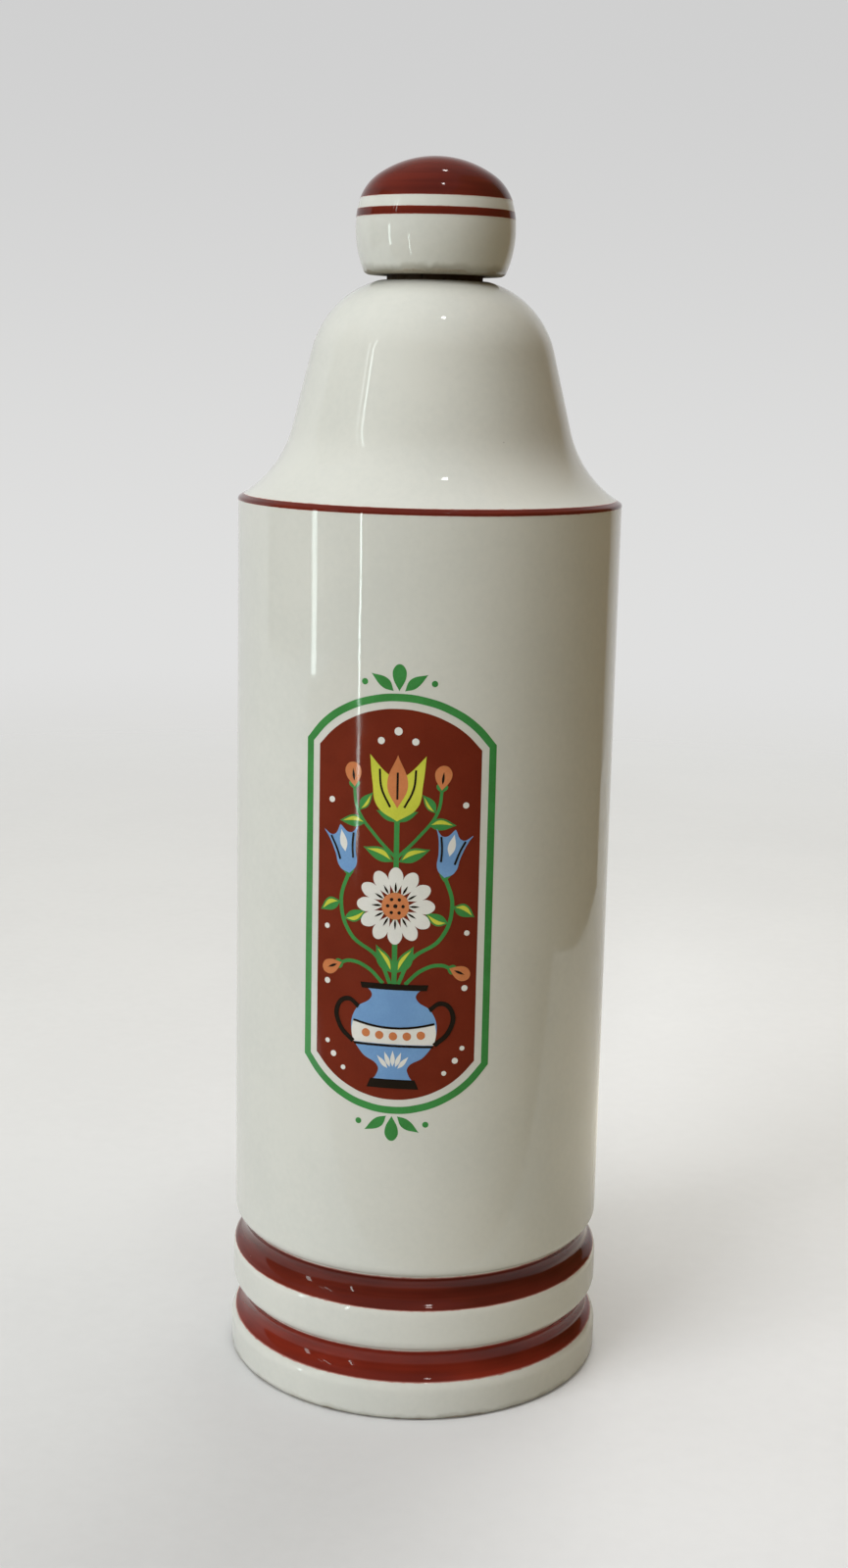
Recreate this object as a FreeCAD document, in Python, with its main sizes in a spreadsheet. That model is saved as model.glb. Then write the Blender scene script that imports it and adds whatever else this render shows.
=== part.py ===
"""Porcelain liquor decanter with a corked ball stopper, as a parametric FreeCAD document.

Millimetres, +Z up, origin at the centre of the foot's resting face. The printed front faces -Y.
Every size is a cell of the sheet "Sizes"; the formulas below use the cells' names.
"""
import FreeCAD, Part
import math
import os
import re
import Sketcher

SIZES = {
    # Decanter, outside
    "body_radius": 40.0,
    "band_proud": 0.4,
    "foot_proud": 0.8,
    "shoulder_height": 188.0,
    "flare_run": 11.1,
    "flare_rise": 14.6,
    "cone_run": 3.9,
    "cone_rise": 15.8,
    "crown_rise": 13.9,
    "shoulder_edge": 0.7,
    "foot_edge": 1.2,
    # Two rounded grooves above the foot
    "foot_band_height": 11.9,
    "groove_pitch": 16.4,
    "groove_radius": 4.2,
    "groove_depth": 2.4,
    "groove_lip": 2.6,
    # Slip-cast wall, floor and foot ring
    "wall": 4.6,
    "floor_thickness": 5.0,
    "floor_corner": 4.0,
    "recess_depth": 2.5,
    "foot_ring_width": 5.5,
    "recess_draft": 1.0,
    # Mouth
    "mouth_radius": 10.0,
    "throat_radius": 9.7,
    "neck_depth": 8.0,
    "lip_width": 1.5,
    "lip_edge": 0.6,
    # Stopper knob
    "stopper_gap": 1.1,
    "knob_foot_radius": 14.3,
    "knob_rim_step": 0.3,
    "knob_barrel_height": 17.6,
    "knob_barrel_curve": 21.1,
    "knob_dome_rise": 6.0,
    "knob_round": 10.0,
    "knob_edge": 1.4,
    "knob_crown_wall": 5.0,
    # Cork and its adhesive
    "cork_clearance": 0.05,
    "cork_insert": 19.0,
    "cork_shank": 12.0,
    "cork_chamfer": 1.0,
    "glue_thickness": 0.4,
    "glue_setback": 1.0,
    "socket_room": 1.0,
    # Printed transfer on the front
    "transfer_width": 38.0,
    "transfer_height": 98.0,
    "transfer_centre": 110.0,
    "transfer_arch": 24.0,
    "transfer_thickness": 0.1,
}

# Heights and radii that follow from the sizes
BAND_RADIUS = "(body_radius + band_proud)"
FOOT_RADIUS = "(body_radius + foot_proud)"
FLARE_TOP_RADIUS = "(body_radius - flare_run)"
FLARE_TOP = "(shoulder_height + flare_rise)"
CROWN_BASE_RADIUS = "(body_radius - flare_run - cone_run)"
CROWN_BASE = "(shoulder_height + flare_rise + cone_rise)"
MOUTH_TOP = "(shoulder_height + flare_rise + cone_rise + crown_rise)"
RIM_RADIUS = "(mouth_radius + lip_width)"
UPPER_GROOVE = "(foot_band_height + groove_pitch)"
GROOVE_CENTRE_RADIUS = "(body_radius - groove_depth + groove_radius)"

# The bell: two arcs that leave the straight cone between them without a corner
CONE_LENGTH = "sqrt(cone_run * cone_run + cone_rise * cone_rise)"
CROWN_RUN = f"({CROWN_BASE_RADIUS} - {RIM_RADIUS})"
FLARE_RADIUS = (
    f"((flare_run * flare_run + flare_rise * flare_rise) * {CONE_LENGTH}"
    " / (2 * (cone_rise * flare_run - cone_run * flare_rise)))"
)
CROWN_RADIUS = (
    f"(({CROWN_RUN} * {CROWN_RUN} + crown_rise * crown_rise) * {CONE_LENGTH}"
    f" / (2 * (cone_rise * {CROWN_RUN} - cone_run * crown_rise)))"
)
OUTWARD_RADIAL = f"(cone_rise / {CONE_LENGTH})"
OUTWARD_RISE = f"(cone_run / {CONE_LENGTH})"

# The cavity: the outside moved in by the wall, the neck's land and the floor left thicker
INNER_RADIUS = "(body_radius - wall)"
FLOOR = "(recess_depth + floor_thickness)"
CEILING = f"({MOUTH_TOP} - neck_depth)"
INNER_FLARE_RADIUS = f"({FLARE_RADIUS} + wall)"
INNER_CROWN_RADIUS = f"({CROWN_RADIUS} - wall)"
FLARE_CENTRE_RADIUS = f"({FLARE_TOP_RADIUS} + {FLARE_RADIUS} * {OUTWARD_RADIAL})"
FLARE_CENTRE = f"({FLARE_TOP} + {FLARE_RADIUS} * {OUTWARD_RISE})"
CROWN_CENTRE_RADIUS = f"({CROWN_BASE_RADIUS} - {CROWN_RADIUS} * {OUTWARD_RADIAL})"
CROWN_CENTRE = f"({CROWN_BASE} - {CROWN_RADIUS} * {OUTWARD_RISE})"
RIDGE_RADIUS = "(groove_radius + wall)"

# Stopper
KNOB_BASE = f"({MOUTH_TOP} + stopper_gap)"
KNOB_RIM_RADIUS = "(knob_foot_radius + knob_rim_step)"
KNOB_RIM = f"({KNOB_BASE} + knob_barrel_height)"
KNOB_TOP = f"({KNOB_RIM} + knob_dome_rise)"
CORK_TAPER = "((mouth_radius - throat_radius) / neck_depth)"
SHANK_RADIUS = f"(mouth_radius - cork_clearance + stopper_gap * {CORK_TAPER})"
CORK_TOE_RADIUS = f"(mouth_radius - cork_clearance - cork_insert * {CORK_TAPER})"
CORK_TOE = f"({MOUTH_TOP} - cork_insert)"
SHANK_TOP = f"({KNOB_BASE} + cork_shank)"
SOCKET_RADIUS = f"({SHANK_RADIUS} + glue_thickness)"
SOCKET_TOP = f"({SHANK_TOP} + glue_thickness + socket_room)"
HOLLOW_TOP = f"({KNOB_TOP} - knob_crown_wall)"

doc = FreeCAD.newDocument("decanter")
sheet = doc.addObject("Spreadsheet::Sheet", "Sizes")
for row, (name, number) in enumerate(SIZES.items(), start=1):
    sheet.set(f"A{row}", name)
    sheet.set(f"B{row}", str(number))
    sheet.setAlias(f"B{row}", name)
doc.recompute()


def bound(formula):
    """The formula with every size written as a reference to its cell."""
    return re.sub(r"[a-z_]+", lambda word: f"Sizes.{word[0]}" if word[0] in SIZES else word[0], formula)


def value(formula):
    """The formula's number at the sheet's present sizes."""
    return float(sheet.evalExpression(bound(formula)))


def half_chord(radius, offset):
    """Formula for half the chord that a circle of this radius cuts at this offset from its centre."""
    return f"sqrt({radius} * {radius} - ({offset}) * ({offset}))"


def cap_radius(half_width, rise):
    """Formula for the radius of an arc that rises by this much over this half width."""
    return f"((({half_width}) * ({half_width}) + ({rise}) * ({rise})) / (2 * ({rise})))"


def new_body(name):
    body = doc.addObject("PartDesign::Body", name)
    body.Label = name
    return body


def new_sketch(body, name):
    """A sketch on the body's own XZ plane: its x is the radius, its y the height."""
    plane = next(feature for feature in body.Origin.OriginFeatures if feature.Role == "XZ_Plane")
    sketch = body.newObject("Sketcher::SketchObject", name)
    sketch.AttachmentSupport = [(plane, "")]
    sketch.MapMode = "FlatFace"
    return sketch


def bind_constraint(sketch, constraint, formula):
    index = sketch.addConstraint(constraint)
    sketch.setExpression(f"Constraints[{index}]", bound(formula))


def pin(sketch, edge, end, x_formula, y_formula):
    """Fix one end of an edge at the place that two formulas give."""
    for kind, axis, formula in (("DistanceX", -2, x_formula), ("DistanceY", -1, y_formula)):
        number = value(formula)
        if abs(number) < 1e-9:
            sketch.addConstraint(Sketcher.Constraint("PointOnObject", edge, end, axis))
        else:
            bind_constraint(sketch, Sketcher.Constraint(kind, -1, 1, edge, end, number), formula)


def arc_between(start, finish, radius, centre_side):
    """The shorter arc between two points, and whether it runs from finish to start."""
    chord = finish - start
    middle = (start + finish) * 0.5
    leftward = FreeCAD.Vector(-chord.y, chord.x, 0).normalize()
    reach = math.sqrt(max(radius ** 2 - (chord.Length / 2) ** 2, 0.0))
    centre = middle + leftward * (reach if centre_side == "left" else -reach)
    flipped = centre_side == "right"
    first, last = (finish, start) if flipped else (start, finish)
    angles = [math.atan2(point.y - centre.y, point.x - centre.x) for point in (first, last)]
    circle = Part.Circle(centre, FreeCAD.Vector(0, 0, 1), radius)
    return Part.ArcOfCircle(circle, *angles), flipped


def draw_outline(sketch, corners):
    """Close an outline through corners (x, y), or (x, y, radius, centre side) where an arc leaves."""
    points = [FreeCAD.Vector(value(corner[0]), value(corner[1]), 0) for corner in corners]
    edges = []
    for index, corner in enumerate(corners):
        start = points[index]
        finish = points[(index + 1) % len(points)]
        geometry, flipped = Part.LineSegment(start, finish), False
        if len(corner) == 4:
            geometry, flipped = arc_between(start, finish, value(corner[2]), corner[3])
        first, last = (2, 1) if flipped else (1, 2)
        edges.append((sketch.addGeometry(geometry), first, last))
    for index, corner in enumerate(corners):
        edge, first, last = edges[index]
        following, following_first, _ = edges[(index + 1) % len(edges)]
        sketch.addConstraint(Sketcher.Constraint("Coincident", edge, last, following, following_first))
        pin(sketch, edge, first, corner[0], corner[1])
        if len(corner) == 4:
            bind_constraint(sketch, Sketcher.Constraint("Radius", edge, value(corner[2])), corner[2])


def turn(body, kind, name, corners):
    """Revolve an outline about Z: a Revolution adds it to the body, a Groove cuts it."""
    sketch = new_sketch(body, name + "_outline")
    draw_outline(sketch, corners)
    feature = body.newObject(f"PartDesign::{kind}", name)
    feature.Profile = sketch
    feature.ReferenceAxis = (sketch, ["V_Axis"])
    feature.Angle = 360
    doc.recompute()
    return feature


def ring_edges(feature, wanted):
    """Names of the feature's circles about Z for which wanted(radius, height) holds."""
    names = []
    for index, edge in enumerate(feature.Shape.Edges, start=1):
        if not edge.Degenerated and isinstance(edge.Curve, Part.Circle):
            centre = edge.Curve.Center
            on_axis = math.hypot(centre.x, centre.y) < 1e-6
            if on_axis and wanted(edge.Curve.Radius, centre.z):
                names.append(f"Edge{index}")
    return names


def at(radius, height):
    """A test for circles of one radius at one height."""
    return lambda r, z: abs(r - value(radius)) < 1e-4 and abs(z - value(height)) < 1e-4


def round_rings(body, name, wanted, radius):
    """Fillet the circles of the body's last feature that pass a test."""
    base = body.Tip
    fillet = body.newObject("PartDesign::Fillet", name)
    fillet.Base = (base, ring_edges(base, wanted))
    fillet.setExpression("Radius", bound(radius))
    doc.recompute()


def decanter_body():
    """Slip-cast porcelain bottle: grooved cylinder, bell shoulder, plain mouth, recessed base."""
    body = new_body("decanter_body")
    turn(body, "Revolution", "outer_form", [
        ("0", "0"),
        (FOOT_RADIUS, "0"),
        (FOOT_RADIUS, "foot_band_height"),
        (BAND_RADIUS, "foot_band_height"),
        (BAND_RADIUS, UPPER_GROOVE),
        ("body_radius", UPPER_GROOVE),
        ("body_radius", "shoulder_height", FLARE_RADIUS, "right"),
        (FLARE_TOP_RADIUS, FLARE_TOP),
        (CROWN_BASE_RADIUS, CROWN_BASE, CROWN_RADIUS, "left"),
        (RIM_RADIUS, MOUTH_TOP),
        ("0", MOUTH_TOP),
    ])

    section = new_sketch(body, "groove_section")
    centre = FreeCAD.Vector(value(GROOVE_CENTRE_RADIUS), value("foot_band_height"), 0)
    circle = section.addGeometry(Part.Circle(centre, FreeCAD.Vector(0, 0, 1), value("groove_radius")))
    pin(section, circle, 3, GROOVE_CENTRE_RADIUS, "foot_band_height")
    bind_constraint(section, Sketcher.Constraint("Radius", circle, value("groove_radius")), "groove_radius")
    groove = body.newObject("PartDesign::Groove", "lower_groove")
    groove.Profile = section
    groove.ReferenceAxis = (section, ["V_Axis"])
    groove.Angle = 360
    doc.recompute()
    pair = body.newObject("PartDesign::LinearPattern", "groove_pair")
    pair.Originals = [groove]
    pair.Direction = (section, ["V_Axis"])
    pair.Occurrences = 2
    pair.setExpression("Length", bound("groove_pitch"))
    body.Tip = pair
    doc.recompute()

    wall_to_centre = f"{GROOVE_CENTRE_RADIUS} - {INNER_RADIUS}"
    ridge_half = half_chord(RIDGE_RADIUS, wall_to_centre)
    floor_ridge = f"({GROOVE_CENTRE_RADIUS} - {half_chord(RIDGE_RADIUS, f'foot_band_height - {FLOOR}')})"
    shoulder_drop = half_chord(INNER_FLARE_RADIUS, f"{FLARE_CENTRE_RADIUS} - {INNER_RADIUS}")
    ceiling_reach = half_chord(INNER_CROWN_RADIUS, f"{CEILING} - {CROWN_CENTRE}")
    turn(body, "Groove", "cavity", [
        ("0", FLOOR),
        (floor_ridge, FLOOR, RIDGE_RADIUS, "right"),
        (INNER_RADIUS, f"foot_band_height + {ridge_half}"),
        (INNER_RADIUS, f"{UPPER_GROOVE} - {ridge_half}", RIDGE_RADIUS, "right"),
        (INNER_RADIUS, f"{UPPER_GROOVE} + {ridge_half}"),
        (INNER_RADIUS, f"{FLARE_CENTRE} - {shoulder_drop}", INNER_FLARE_RADIUS, "right"),
        (f"{FLARE_TOP_RADIUS} - wall * {OUTWARD_RADIAL}", f"{FLARE_TOP} - wall * {OUTWARD_RISE}"),
        (f"{CROWN_BASE_RADIUS} - wall * {OUTWARD_RADIAL}", f"{CROWN_BASE} - wall * {OUTWARD_RISE}",
         INNER_CROWN_RADIUS, "left"),
        (f"{CROWN_CENTRE_RADIUS} + {ceiling_reach}", CEILING),
        ("0", CEILING),
    ])
    turn(body, "Groove", "mouth_bore", [
        ("0", CEILING),
        ("throat_radius", CEILING),
        ("mouth_radius", MOUTH_TOP),
        ("0", MOUTH_TOP),
    ])
    turn(body, "Groove", "base_recess", [
        ("0", "0"),
        (f"{FOOT_RADIUS} - foot_ring_width", "0"),
        (f"{FOOT_RADIUS} - foot_ring_width - recess_draft", "recess_depth"),
        ("0", "recess_depth"),
    ])

    outside = [value(radius) for radius in (FOOT_RADIUS, BAND_RADIUS, "body_radius")]
    lip_top = value(f"{UPPER_GROOVE} + groove_radius")
    round_rings(
        body, "groove_lips",
        lambda r, z: 0 < z < lip_top and any(abs(r - radius) < 1e-4 for radius in outside),
        "groove_lip",
    )
    round_rings(body, "shoulder_round", at("body_radius", "shoulder_height"), "shoulder_edge")
    round_rings(body, "foot_round", at(FOOT_RADIUS, "0"), "foot_edge")
    round_rings(body, "lip_round", at("mouth_radius", MOUTH_TOP), "lip_edge")
    round_rings(body, "floor_round", at(floor_ridge, FLOOR), "floor_corner")
    return body


def stopper_knob():
    """Hollow porcelain knob: barrel side, low dome, blind socket for the cork."""
    body = new_body("stopper_knob")
    turn(body, "Revolution", "knob_form", [
        ("0", KNOB_BASE),
        ("knob_foot_radius", KNOB_BASE, "knob_barrel_curve", "left"),
        (KNOB_RIM_RADIUS, KNOB_RIM, cap_radius(KNOB_RIM_RADIUS, "knob_dome_rise"), "left"),
        ("0", KNOB_TOP),
    ])
    turn(body, "Groove", "socket", [
        ("0", KNOB_BASE),
        (SOCKET_RADIUS, KNOB_BASE),
        (SOCKET_RADIUS, SOCKET_TOP, cap_radius(SOCKET_RADIUS, f"{HOLLOW_TOP} - {SOCKET_TOP}"), "left"),
        ("0", HOLLOW_TOP),
    ])
    round_rings(body, "dome_round", at(KNOB_RIM_RADIUS, KNOB_RIM), "knob_round")
    round_rings(body, "base_round", at("knob_foot_radius", KNOB_BASE), "knob_edge")
    return body


def stopper_cork():
    """Tapered cork: its shank is glued into the knob, its cone seats in the mouth."""
    body = new_body("stopper_cork")
    turn(body, "Revolution", "cork_form", [
        ("0", CORK_TOE),
        (f"{CORK_TOE_RADIUS} - cork_chamfer", CORK_TOE),
        (f"{CORK_TOE_RADIUS} + cork_chamfer * {CORK_TAPER}", f"{CORK_TOE} + cork_chamfer"),
        (SHANK_RADIUS, KNOB_BASE),
        (SHANK_RADIUS, SHANK_TOP),
        ("0", SHANK_TOP),
    ])
    return body


def cork_glue():
    """Adhesive cup between the cork's shank and the knob's socket."""
    body = new_body("cork_glue")
    turn(body, "Revolution", "glue_form", [
        ("0", SHANK_TOP),
        (SHANK_RADIUS, SHANK_TOP),
        (SHANK_RADIUS, f"{KNOB_BASE} + glue_setback"),
        (SOCKET_RADIUS, f"{KNOB_BASE} + glue_setback"),
        (SOCKET_RADIUS, f"{SHANK_TOP} + glue_thickness"),
        ("0", f"{SHANK_TOP} + glue_thickness"),
    ])
    return body


def front_transfer():
    """Fired transfer: a thin skin on the front of the cylinder, with arched ends."""
    sheath = doc.addObject("Part::Cylinder", "transfer_sheath")
    core = doc.addObject("Part::Cylinder", "transfer_core")
    sheath.setExpression("Radius", bound("body_radius + transfer_thickness"))
    core.setExpression("Radius", bound("body_radius"))
    for tube in (sheath, core):
        tube.setExpression("Height", bound("transfer_height"))
        tube.setExpression("Placement.Base.z", bound("transfer_centre - transfer_height / 2"))
    skin = doc.addObject("Part::Cut", "transfer_skin")
    skin.Base = sheath
    skin.Tool = core

    half_width = "transfer_width / 2"
    arch_rise = f"(transfer_arch - {half_chord('transfer_arch', half_width)})"
    side_half = f"(transfer_height / 2 - {arch_rise})"
    outline = doc.addObject("Sketcher::SketchObject", "transfer_outline")
    outline.Placement = FreeCAD.Placement(
        FreeCAD.Vector(0, 0, 0), FreeCAD.Rotation(FreeCAD.Vector(1, 0, 0), 90))
    draw_outline(outline, [
        (f"-{half_width}", f"transfer_centre - {side_half}", "transfer_arch", "left"),
        (half_width, f"transfer_centre - {side_half}"),
        (half_width, f"transfer_centre + {side_half}", "transfer_arch", "left"),
        (f"-{half_width}", f"transfer_centre + {side_half}"),
    ])
    stamp = doc.addObject("Part::Extrusion", "transfer_stamp")
    stamp.Base = outline
    stamp.DirMode = "Normal"
    stamp.Solid = True
    stamp.setExpression("LengthFwd", bound("body_radius + transfer_thickness"))
    transfer = doc.addObject("Part::Common", "front_transfer")
    transfer.Label = "front_transfer"
    transfer.Base = skin
    transfer.Tool = stamp
    doc.recompute()
    return transfer


def check(pieces):
    """Stop if any object of the document failed, or a piece has no valid solid."""
    for item in doc.Objects:
        if "Invalid" in item.State or "Error" in item.State:
            raise RuntimeError(f"{item.Name} failed: {item.State}")
    for piece in pieces:
        if piece.Shape.isNull() or not piece.Shape.isValid() or len(piece.Shape.Solids) != 1:
            raise RuntimeError(f"{piece.Label} is not one valid solid")


def main():
    pieces = [decanter_body(), stopper_knob(), stopper_cork(), cork_glue(), front_transfer()]
    doc.recompute()
    check(pieces)
    os.makedirs("parts", exist_ok=True)
    for piece in pieces:
        piece.Shape.exportStep(f"parts/{piece.Label}.step")
        print(piece.Label, round(piece.Shape.Volume, 1), "mm3", piece.Shape.BoundBox)


main()
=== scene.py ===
"""Porcelain liquor decanter: its turned porcelain, painted rings, printed panel and corked stopper.

Metres, +Z up, the printed front faces -Y. Sizes are written in millimetres times MM.
"""

import bpy
import math
from mathutils import Matrix, Vector


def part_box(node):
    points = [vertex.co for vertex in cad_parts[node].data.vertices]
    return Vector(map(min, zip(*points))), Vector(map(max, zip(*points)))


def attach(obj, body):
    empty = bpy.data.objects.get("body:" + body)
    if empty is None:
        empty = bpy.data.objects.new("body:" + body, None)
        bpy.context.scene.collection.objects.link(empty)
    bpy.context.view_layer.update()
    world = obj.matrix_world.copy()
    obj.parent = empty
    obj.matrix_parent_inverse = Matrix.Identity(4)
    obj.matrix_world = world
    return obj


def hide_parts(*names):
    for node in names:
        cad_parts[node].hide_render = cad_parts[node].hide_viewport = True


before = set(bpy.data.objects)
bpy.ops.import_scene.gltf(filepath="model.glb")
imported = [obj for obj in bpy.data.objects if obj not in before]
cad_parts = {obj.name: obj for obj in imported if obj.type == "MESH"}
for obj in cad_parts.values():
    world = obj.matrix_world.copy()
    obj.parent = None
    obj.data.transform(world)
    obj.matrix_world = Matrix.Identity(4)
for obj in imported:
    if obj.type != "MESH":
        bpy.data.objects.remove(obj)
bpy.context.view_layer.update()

MM = 0.001

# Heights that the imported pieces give
MOUTH_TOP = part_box("decanter_body")[1].z
KNOB_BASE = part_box("stopper_knob")[0].z
KNOB_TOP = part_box("stopper_knob")[1].z
CORK_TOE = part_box("stopper_cork")[0].z
SHANK_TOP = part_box("stopper_cork")[1].z
PRINT_CENTRE = (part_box("front_transfer")[0].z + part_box("front_transfer")[1].z) / 2

# Bottle, outside
BODY_RADIUS = 40.0 * MM
BAND_RADIUS = 40.4 * MM
FOOT_RADIUS = 40.8 * MM
FOOT_EDGE = 1.2 * MM
LOWER_GROOVE = 11.9 * MM
UPPER_GROOVE = 28.3 * MM
GROOVE_RADIUS = 4.2 * MM
GROOVE_DEPTH = 2.4 * MM
GROOVE_LIP = 2.6 * MM
SHOULDER = 188.0 * MM
SHOULDER_EDGE = 0.7 * MM
FLARE_RUN, FLARE_RISE = 11.1 * MM, 14.6 * MM
CONE_RUN, CONE_RISE = 3.9 * MM, 15.8 * MM

# Bottle, inside and underneath
WALL = 4.6 * MM
RECESS_DEPTH = 2.5 * MM
RECESS_DRAFT = 1.0 * MM
FOOT_RING = 5.5 * MM
FLOOR = 7.5 * MM
FLOOR_CORNER = 4.0 * MM
MOUTH_RADIUS = 10.0 * MM
THROAT_RADIUS = 9.7 * MM
NECK_DEPTH = 8.0 * MM
LIP_WIDTH = 1.5 * MM
LIP_EDGE = 0.6 * MM

# Stopper
KNOB_FOOT_RADIUS = 14.3 * MM
KNOB_RIM_RADIUS = 14.6 * MM
KNOB_BARREL_HEIGHT = 17.6 * MM
KNOB_BARREL_CURVE = 21.1 * MM
KNOB_ROUND = 10.0 * MM
KNOB_EDGE = 1.4 * MM
KNOB_CROWN_WALL = 5.0 * MM
SHANK_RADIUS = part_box("stopper_cork")[1].x
GLUE_THICKNESS = 0.4 * MM
GLUE_SETBACK = 1.0 * MM
SOCKET_ROOM = 1.0 * MM
CORK_CHAMFER = 1.0 * MM
CORK_CLEARANCE = 0.05 * MM
CORK_PORE = 1.3 * MM
CORK_PORE_DEPTH = 0.32 * MM

# Painted rings: where the brush started and stopped, by height; on the cap it went over the top
LOWER_RING = (8.0 * MM, 14.9 * MM)
UPPER_RING = (24.05 * MM, 31.2 * MM)
SHOULDER_LINE = (187.4 * MM, 188.8 * MM)
KNOB_LINE = (244.6 * MM, 246.35 * MM)
KNOB_CAP = (248.4 * MM, KNOB_TOP + 5 * MM)
BRUSH_SWAY = 16 * MM

# Films, each thicker than the step it makes, so that it reaches into what it lies on
PAINT = 0.05 * MM
PAINT_FILM = 1.3 * PAINT
INK_STEP = 0.018 * MM
INK_FILM = 1.2 * INK_STEP

# Fineness of the meshes
TURN_STEPS = 256
MERGE = 1e-7
SMOOTH_ANGLE = math.radians(35)


# Outlines of turned pieces

def arc(centre, start, finish, steps):
    """Points on the shorter arc about a centre, from start to finish."""
    x, z = centre
    radius = math.dist(centre, start)
    first = math.atan2(start[1] - z, start[0] - x)
    last = math.atan2(finish[1] - z, finish[0] - x)
    turn = math.remainder(last - first, math.tau)
    angles = [first + turn * step / steps for step in range(steps + 1)]
    return [(x + radius * math.cos(angle), z + radius * math.sin(angle)) for angle in angles]


def run(start, finish, steps=1):
    """Evenly spaced points on a straight stretch."""
    shares = [step / steps for step in range(steps + 1)]
    return [tuple(a + (b - a) * share for a, b in zip(start, finish)) for share in shares]


def joined(*stretches):
    """One outline from stretches that follow each other, without repeated points."""
    outline = []
    for point in (point for stretch in stretches for point in stretch):
        if not outline or math.dist(point, outline[-1]) > 2 * MERGE:
            outline.append(point)
    return outline


def toward(start, finish, distance):
    """The point that lies a distance from start, on the line to finish."""
    share = distance / math.dist(start, finish)
    return tuple(a + (b - a) * share for a, b in zip(start, finish))


def lip(hollow, hollow_radius, wall_radius, lip_radius, side):
    """Rounded lip where a straight wall runs into a round hollow: its centre and its two ends."""
    inward = hollow[0] - wall_radius + lip_radius
    height = hollow[1] + side * math.sqrt((hollow_radius + lip_radius) ** 2 - inward ** 2)
    centre = (wall_radius - lip_radius, height)
    return centre, (wall_radius, height), toward(hollow, centre, hollow_radius)


def crossing(first, first_radius, second, second_radius):
    """Where two circles cross, on the side that lies further out."""
    apart = math.dist(first, second)
    along = (first_radius ** 2 - second_radius ** 2 + apart ** 2) / (2 * apart)
    aside = math.sqrt(first_radius ** 2 - along ** 2)
    unit = ((second[0] - first[0]) / apart, (second[1] - first[1]) / apart)
    foot = (first[0] + along * unit[0], first[1] + along * unit[1])
    return max((foot[0] - k * aside * unit[1], foot[1] + k * aside * unit[0]) for k in (1, -1))


def tangent_arc_centre(start, finish, at, direction):
    """Centre of the arc between two points whose tangent at one of them has a direction."""
    normal = Vector((-direction[1], direction[0])).normalized()
    chord = Vector(finish) - Vector(start)
    if at == finish:
        chord = -chord
    return tuple(Vector(at) + normal * (chord.length_squared / (2 * chord.dot(normal))))


FOOT_FLAT = FOOT_RADIUS - FOOT_EDGE
GROOVE_CENTRE_RADIUS = BODY_RADIUS - GROOVE_DEPTH + GROOVE_RADIUS
RIM_RADIUS = MOUTH_RADIUS + LIP_WIDTH
SOCKET_RADIUS = SHANK_RADIUS + GLUE_THICKNESS
CONE_FOOT = (BODY_RADIUS - FLARE_RUN, SHOULDER + FLARE_RISE)
CONE_TOP = (CONE_FOOT[0] - CONE_RUN, CONE_FOOT[1] + CONE_RISE)
CONE_WAY = (-CONE_RUN, CONE_RISE)
FLARE_CENTRE = tangent_arc_centre((BODY_RADIUS, SHOULDER), CONE_FOOT, CONE_FOOT, CONE_WAY)
FLARE_RADIUS = math.dist(FLARE_CENTRE, CONE_FOOT)
CROWN_CENTRE = tangent_arc_centre(CONE_TOP, (RIM_RADIUS, MOUTH_TOP), CONE_TOP, CONE_WAY)


def groove_outline(height, wall_below, wall_above):
    """A round groove with soft lips, from the wall below it to the wall above."""
    centre = (GROOVE_CENTRE_RADIUS, height)
    low, low_wall, low_end = lip(centre, GROOVE_RADIUS, wall_below, GROOVE_LIP, -1)
    high, high_wall, high_end = lip(centre, GROOVE_RADIUS, wall_above, GROOVE_LIP, 1)
    return joined(
        arc(low, low_wall, low_end, steps=10),
        arc(centre, low_end, high_end, steps=22),
        arc(high, high_end, high_wall, steps=10),
    )


def bottle_outside():
    """From the resting face, over the foot, the grooves and the bell, to the rim of the mouth."""
    edge, edge_wall, edge_bell = lip(FLARE_CENTRE, FLARE_RADIUS, BODY_RADIUS, SHOULDER_EDGE, -1)
    upper_groove = groove_outline(UPPER_GROOVE, BAND_RADIUS, BODY_RADIUS)
    return joined(
        arc((FOOT_FLAT, FOOT_EDGE), (FOOT_FLAT, 0), (FOOT_RADIUS, FOOT_EDGE), steps=8),
        groove_outline(LOWER_GROOVE, FOOT_RADIUS, BAND_RADIUS),
        upper_groove,
        run(upper_groove[-1], edge_wall, steps=48),
        arc(edge, edge_wall, edge_bell, steps=8),
        arc(FLARE_CENTRE, edge_bell, CONE_FOOT, steps=28),
        run(CONE_FOOT, CONE_TOP, steps=8),
        arc(CROWN_CENTRE, CONE_TOP, (RIM_RADIUS, MOUTH_TOP), steps=28),
    )


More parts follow.
